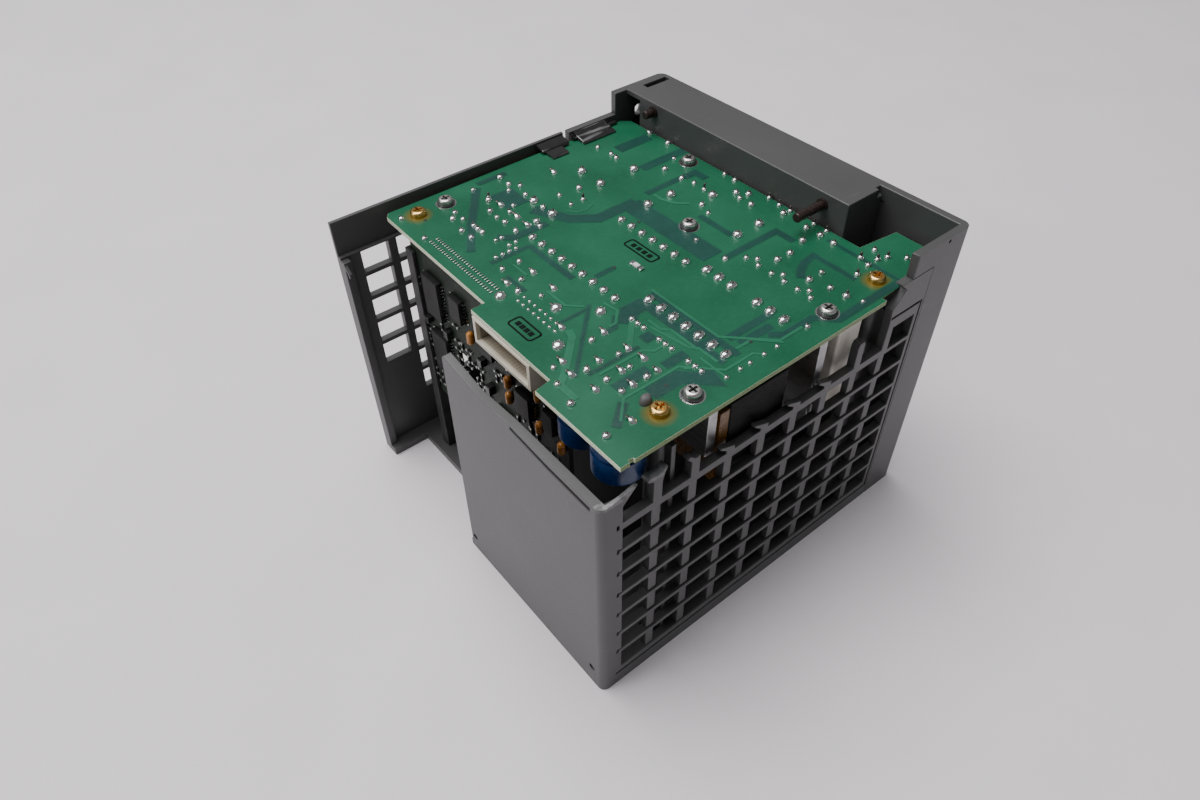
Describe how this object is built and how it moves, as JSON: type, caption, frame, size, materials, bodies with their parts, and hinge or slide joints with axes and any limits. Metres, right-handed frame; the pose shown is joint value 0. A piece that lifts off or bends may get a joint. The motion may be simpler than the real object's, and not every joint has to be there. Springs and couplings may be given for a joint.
{
  "type": "rack power supply module",
  "caption": "Open-sided rack power supply module: moulded case with grille walls, circuit board screwed over its open side, rear backplane socket and a hinged terminal door.",
  "frame": {"origin": "centre of the footprint, on the resting face (the closed left side of the module)", "axes": "+X towards the module top wall, +Y towards its front and terminal door, +Z towards its open right side, which faces up as it lies"},
  "size_m": [0.14, 0.145, 0.114],
  "materials": {
    "case_plastic": "moulded dark grey plastic, fine satin grain",
    "door_plastic": "moulded dark grey plastic, satin",
    "latch_plastic": "glossy black plastic",
    "label_plastic": "blank printed film, light grey",
    "clear_plastic": "clear moulded light guide",
    "led_green": "tinted epoxy lens",
    "board_green": "green solder mask over glass laminate",
    "board_dark": "dark green solder mask",
    "plated_steel": "bright zinc plated steel",
    "brass_plated": "yellow passivated steel screw",
    "bare_aluminium": "mill finish aluminium",
    "tinned_copper": "tin plated copper alloy",
    "device_black": "black moulding compound",
    "pad_grey": "grey insulating film",
    "ferrite": "dark sintered ferrite",
    "yellow_tape": "amber polyester tape",
    "can_blue": "blue heat-shrink sleeve",
    "can_black": "black heat-shrink sleeve",
    "copper_wire": "enamelled copper wire",
    "beige_block": "cream plastic box, resin filled",
    "yellow_block": "yellow plastic box, resin filled",
    "blue_disc": "blue epoxy dip",
    "dark_disc": "dark epoxy dip",
    "orange_bead": "orange epoxy dip",
    "white_part": "white moulded plastic",
    "cream_socket": "cream moulded nylon",
    "gold_contact": "gold flashed spring strip",
    "black_nylon": "black moulded nylon",
    "peg_brown": "dark brown moulded pin",
    "fuse_glass": "clear glass tube"
  },
  "bodies": {
    "housing": {"backplane_socket": "cream_socket", "board_latch": "latch_plastic", "bracket_screws": "plated_steel", "bracket_washers": "plated_steel", "bridge_rectifier": "device_black", "bulk_capacitors": "can_blue", "case_board_screws": "brass_plated", "control_board": "board_dark", "control_board_guide": "black_nylon", "control_chips": "device_black", "control_header": "black_nylon", "control_passives": "can_black", "device_screws": "plated_steel", "door_hinge_pins": "plated_steel", "earth_bracket": "tinned_copper", "filter_capacitor": "beige_block", "front_bezel": "case_plastic", "front_label": "label_plastic", "fuse_base": "black_nylon", "fuse_clips": "tinned_copper", "guide_pegs": "peg_brown", "heat_sink_front": "bare_aluminium", "heat_sink_rear": "bare_aluminium", "housing_shell": "case_plastic", "inrush_thermistor": "dark_disc", "insulator_pads": "pad_grey", "jumper_base": "black_nylon", "jumper_pins": "gold_contact", "light_pipe": "clear_plastic", "line_choke_core": "ferrite", "line_choke_windings": "copper_wire", "main_board": "board_green", "optocouplers": "white_part", "output_capacitors": "can_blue", "output_choke": "copper_wire", "power_led": "led_green", "rectifier_diodes": "device_black", "small_capacitors": "can_black", "socket_contacts": "gold_contact", "suppression_capacitor": "yellow_block", "surge_varistor": "blue_disc", "switch_transistors": "device_black", "tantalum_capacitors": "orange_bead", "terminal_block": "black_nylon", "terminal_clamps": "plated_steel", "terminal_leads": "tinned_copper", "transformer_core": "ferrite", "transformer_winding": "yellow_tape"},
    "door": {"terminal_door": "door_plastic"},
    "jumper": {"voltage_jumper": "latch_plastic"},
    "fuse": {"fuse_tube": "fuse_glass", "fuse_caps": "plated_steel"},
    "wire_screw_1": {"terminal_screw_1": "plated_steel"},
    "wire_screw_2": {"terminal_screw_2": "plated_steel"},
    "wire_screw_3": {"terminal_screw_3": "plated_steel"},
    "wire_screw_4": {"terminal_screw_4": "plated_steel"},
    "wire_screw_5": {"terminal_screw_5": "plated_steel"}
  },
  "joints": [
    {"name": "door_hinge", "type": "hinge", "parent": "housing", "child": "door", "pos_m": [0, 0.0706, 0.1089], "axis": [1, 0, 0], "range_deg": [0, 110]},
    {"name": "jumper_pull", "type": "slide", "parent": "housing", "child": "jumper", "axis": [0, 1, 0], "range_m": [0, 0.0055]},
    {"name": "fuse_pull", "type": "slide", "parent": "housing", "child": "fuse", "axis": [0, 1, 0], "range_m": [0, 0.0055]},
    {"name": "wire_screw_1_turn", "type": "hinge", "parent": "housing", "child": "wire_screw_1", "pos_m": [-0.042, 0.06, 0.036], "axis": [0, 1, 0], "continuous": true},
    {"name": "wire_screw_2_turn", "type": "hinge", "parent": "housing", "child": "wire_screw_2", "pos_m": [-0.032, 0.06, 0.036], "axis": [0, 1, 0], "continuous": true},
    {"name": "wire_screw_3_turn", "type": "hinge", "parent": "housing", "child": "wire_screw_3", "pos_m": [-0.022, 0.06, 0.036], "axis": [0, 1, 0], "continuous": true},
    {"name": "wire_screw_4_turn", "type": "hinge", "parent": "housing", "child": "wire_screw_4", "pos_m": [-0.012, 0.06, 0.036], "axis": [0, 1, 0], "continuous": true},
    {"name": "wire_screw_5_turn", "type": "hinge", "parent": "housing", "child": "wire_screw_5", "pos_m": [-0.002, 0.06, 0.036], "axis": [0, 1, 0], "continuous": true}
  ]
}
